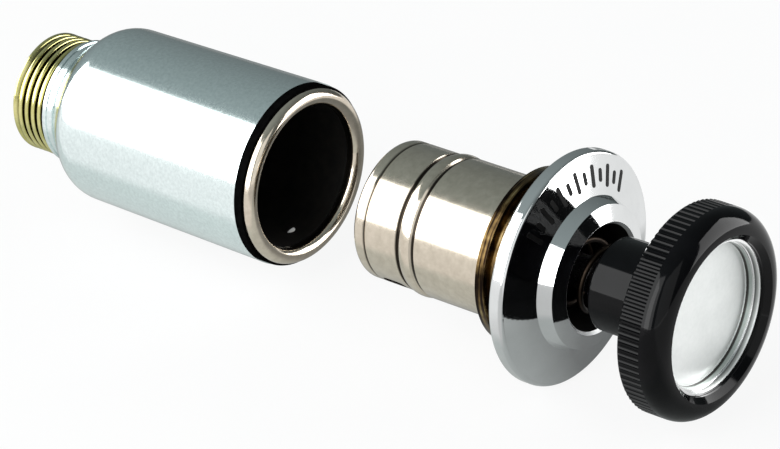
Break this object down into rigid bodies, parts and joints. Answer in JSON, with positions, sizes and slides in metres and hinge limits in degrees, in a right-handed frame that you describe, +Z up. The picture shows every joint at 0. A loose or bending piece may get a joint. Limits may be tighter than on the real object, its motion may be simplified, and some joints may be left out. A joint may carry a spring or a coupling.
{
  "type": "car 12v power socket",
  "caption": "Car lighter socket with a screw-up clamp sleeve, and its spring-loaded lighter plug drawn out along the same axis.",
  "frame": {"origin": "centre of the socket's axis on the rear face of its rim, where it rests on the front of the panel", "axes": "+Y runs into the socket, away from the user, -Y is the front, +Z is up and +X completes the frame"},
  "size_m": [0.0337, 0.1258, 0.0336],
  "materials": {
    "nickel_plate": "bright nickel plate",
    "chrome_plate": "polished chrome plate",
    "zinc_plate": "bright zinc plate",
    "brass": "bare brass",
    "spring_steel": "spring steel",
    "bronze_wire": "bronze wire",
    "black_phenolic": "gloss black moulding",
    "black_fibre": "matt black",
    "mica": "translucent flake",
    "bimetal": "heat-tinted strip",
    "brown_board": "pressed insulating board",
    "satin_aluminium": "satin disc",
    "resistance_ribbon": "oxidised ribbon"
  },
  "bodies": {
    "socket": {"socket_well": "nickel_plate", "panel_gasket": "black_fibre", "threaded_tail": "brass", "clip_insulator": "mica", "bimetal_clip": "bimetal", "rear_insulator": "brown_board", "centre_stud": "brass", "lock_washer": "spring_steel", "terminal_nut": "zinc_plate"},
    "sleeve": {"clamp_sleeve": "zinc_plate"},
    "plug": {"plug_barrel": "nickel_plate", "retaining_collar": "nickel_plate", "bezel": "chrome_plate", "guide_bush": "brown_board", "return_spring": "bronze_wire"},
    "plunger": {"knob": "black_phenolic", "knob_dish": "satin_aluminium", "plunger_shaft": "spring_steel", "stop_ring": "spring_steel", "element_cup": "nickel_plate", "element_insulator": "mica", "heating_coil": "resistance_ribbon", "coil_rivet": "nickel_plate"}
  },
  "joints": [
    {"name": "clamp_travel", "type": "slide", "parent": "socket", "child": "sleeve", "axis": [0, 1, 0], "range_m": [0, 0.0045]},
    {"name": "plug_insert", "type": "slide", "parent": "socket", "child": "plug", "axis": [0, 1, 0], "range_m": [-0.06, 0.03945]},
    {"name": "knob_press", "type": "slide", "parent": "plug", "child": "plunger", "axis": [0, 1, 0], "range_m": [0, 0.01], "stiffness_N_per_m": 150, "springref_m": -0.006, "deforming": ["return_spring"]}
  ]
}
